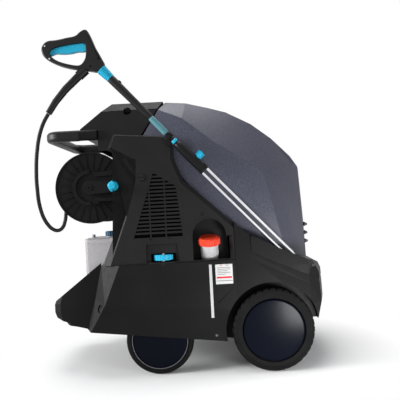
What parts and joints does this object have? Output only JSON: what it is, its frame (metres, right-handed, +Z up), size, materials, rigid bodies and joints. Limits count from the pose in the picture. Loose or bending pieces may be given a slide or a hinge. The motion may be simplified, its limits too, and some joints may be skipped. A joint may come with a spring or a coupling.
{
  "type": "hot water pressure washer",
  "caption": "Wheeled pressure washer with a hinged hood over boiler and pump, hose reel with crank, parked lance with trigger gun, fuel filler and detergent jug.",
  "frame": {"origin": "centre of the bounding box in plan, on the floor", "axes": "+X towards the hood and large wheels, -Y the operating side with filler and lance, +Z up"},
  "size_m": [1.071, 0.703, 1.2809],
  "materials": {
    "black_plastic": "fine moulded texture",
    "dark_plastic": "satin",
    "navy_hood": "fine moulded texture",
    "navy_disc": "glossy",
    "blue_plastic": "satin",
    "tyre_rubber": "matt",
    "hose_rubber": "matt",
    "grip_rubber": "matt",
    "steel": "plain",
    "frame_steel": "powder coat",
    "boiler_steel": "brushed",
    "motor_alu": "cast",
    "brass": "cast",
    "white_plastic": "translucent",
    "red_plastic": "satin",
    "teal_cap": "satin",
    "grey_plastic": "satin"
  },
  "bodies": {
    "machine": {"lower_body": "black_plastic", "rear_tray": "black_plastic", "side_panel_right": "black_plastic", "side_panel_left": "black_plastic", "rear_panel": "black_plastic", "console": "black_plastic", "control_panel": "dark_plastic", "storage_tray": "black_plastic", "handle": "grip_rubber", "handle_brackets": "black_plastic", "front_bumper": "black_plastic", "hood_hinge_rod": "steel", "chassis_frame": "frame_steel", "front_axle": "steel", "rear_axle": "steel", "boiler_shell": "boiler_steel", "boiler_lid": "boiler_steel", "burner_blower": "dark_plastic", "motor": "motor_alu", "pump": "brass", "unloader_valve": "brass", "float_tank": "white_plastic", "fuel_tank": "dark_plastic", "electrics_box": "grey_plastic", "water_inlet": "brass", "cable_gland": "dark_plastic", "fuel_filler_neck": "white_plastic", "fuel_level_gauge": "white_plastic", "volume_spindle": "steel", "reel_bracket_right": "black_plastic", "reel_bracket_left": "black_plastic", "hose_sleeve": "grip_rubber", "lance_holder": "black_plastic", "gun_shells": "black_plastic", "gun_valve": "steel", "lance": "grip_rubber", "hose": "hose_rubber"},
    "front_wheel_right": {"front_tyre_right": "tyre_rubber", "front_rim_right": "navy_disc"},
    "front_wheel_left": {"front_tyre_left": "tyre_rubber", "front_rim_left": "navy_disc"},
    "rear_wheel_right": {"rear_tyre_right": "tyre_rubber", "rear_rim_right": "navy_disc"},
    "rear_wheel_left": {"rear_tyre_left": "tyre_rubber", "rear_rim_left": "navy_disc"},
    "hood": {"hood": "navy_hood", "flue_grille": "steel"},
    "storage_lid": {"storage_lid": "black_plastic"},
    "main_switch": {"main_switch": "blue_plastic"},
    "thermostat_knob": {"thermostat_knob": "dark_plastic"},
    "volume_knob": {"volume_knob": "blue_plastic"},
    "fuel_cap": {"fuel_cap": "red_plastic"},
    "detergent_jug": {"detergent_jug": "white_plastic"},
    "jug_cap": {"jug_cap": "teal_cap"},
    "reel": {"hose_reel": "black_plastic", "hose_coil": "hose_rubber", "crank_arm": "black_plastic", "crank_grip": "blue_plastic"},
    "trigger": {"trigger": "blue_plastic"},
    "lance_knob": {"lance_knob": "blue_plastic"}
  },
  "joints": [
    {"name": "front_wheel_right_spin", "type": "hinge", "parent": "machine", "child": "front_wheel_right", "pos_m": [0.299, -0.3, 0.15], "axis": [0, 1, 0], "continuous": true},
    {"name": "rear_wheel_right_spin", "type": "hinge", "parent": "machine", "child": "rear_wheel_right", "pos_m": [-0.119, -0.3, 0.125], "axis": [0, 1, 0], "continuous": true},
    {"name": "front_wheel_left_spin", "type": "hinge", "parent": "machine", "child": "front_wheel_left", "pos_m": [0.299, 0.3, 0.15], "axis": [0, 1, 0], "continuous": true},
    {"name": "rear_wheel_left_spin", "type": "hinge", "parent": "machine", "child": "rear_wheel_left", "pos_m": [-0.119, 0.3, 0.125], "axis": [0, 1, 0], "continuous": true},
    {"name": "hood_hinge", "type": "hinge", "parent": "machine", "child": "hood", "pos_m": [0.465, 0, 0.37], "axis": [0, 1, 0], "range_deg": [0, 40]},
    {"name": "storage_lid_hinge", "type": "hinge", "parent": "machine", "child": "storage_lid", "pos_m": [-0.17, 0.196, 1], "axis": [-1, 0, 0], "range_deg": [0, 80]},
    {"name": "main_switch_turn", "type": "hinge", "parent": "machine", "child": "main_switch", "pos_m": [-0.336, -0.04, 0.979], "axis": [-0.6374, 0, 0.7705], "range_deg": [0, 135]},
    {"name": "thermostat_turn", "type": "hinge", "parent": "machine", "child": "thermostat_knob", "pos_m": [-0.336, 0.04, 0.979], "axis": [-0.6374, 0, 0.7705], "range_deg": [0, 270]},
    {"name": "volume_turn", "type": "hinge", "parent": "machine", "child": "volume_knob", "pos_m": [-0.091, -0.3, 0.431], "axis": [0, 0, 1], "range_deg": [0, 270]},
    {"name": "fuel_cap_lift", "type": "slide", "parent": "machine", "child": "fuel_cap", "axis": [0, -0.2756, 0.9613], "range_m": [0, 0.03]},
    {"name": "jug_pull", "type": "slide", "parent": "machine", "child": "detergent_jug", "axis": [-1, 0, 0], "range_m": [0, 0.15]},
    {"name": "jug_cap_lift", "type": "slide", "parent": "detergent_jug", "child": "jug_cap", "axis": [0, 0, 1], "range_m": [0, 0.028]},
    {"name": "reel_spin", "type": "hinge", "parent": "machine", "child": "reel", "pos_m": [-0.358, 0, 0.703], "axis": [0, 1, 0], "continuous": true},
    {"name": "trigger_squeeze", "type": "hinge", "parent": "machine", "child": "trigger", "pos_m": [-0.324, -0.305, 1.224], "axis": [0, 1, 0], "range_deg": [0, 8], "stiffness_Nm_per_rad": 2, "springref_deg": -5.73},
    {"name": "lance_knob_turn", "type": "hinge", "parent": "machine", "child": "lance_knob", "pos_m": [0.03993, -0.305, 0.78158], "axis": [0.7373, 0, 0.6756], "range_deg": [0, 90]}
  ]
}
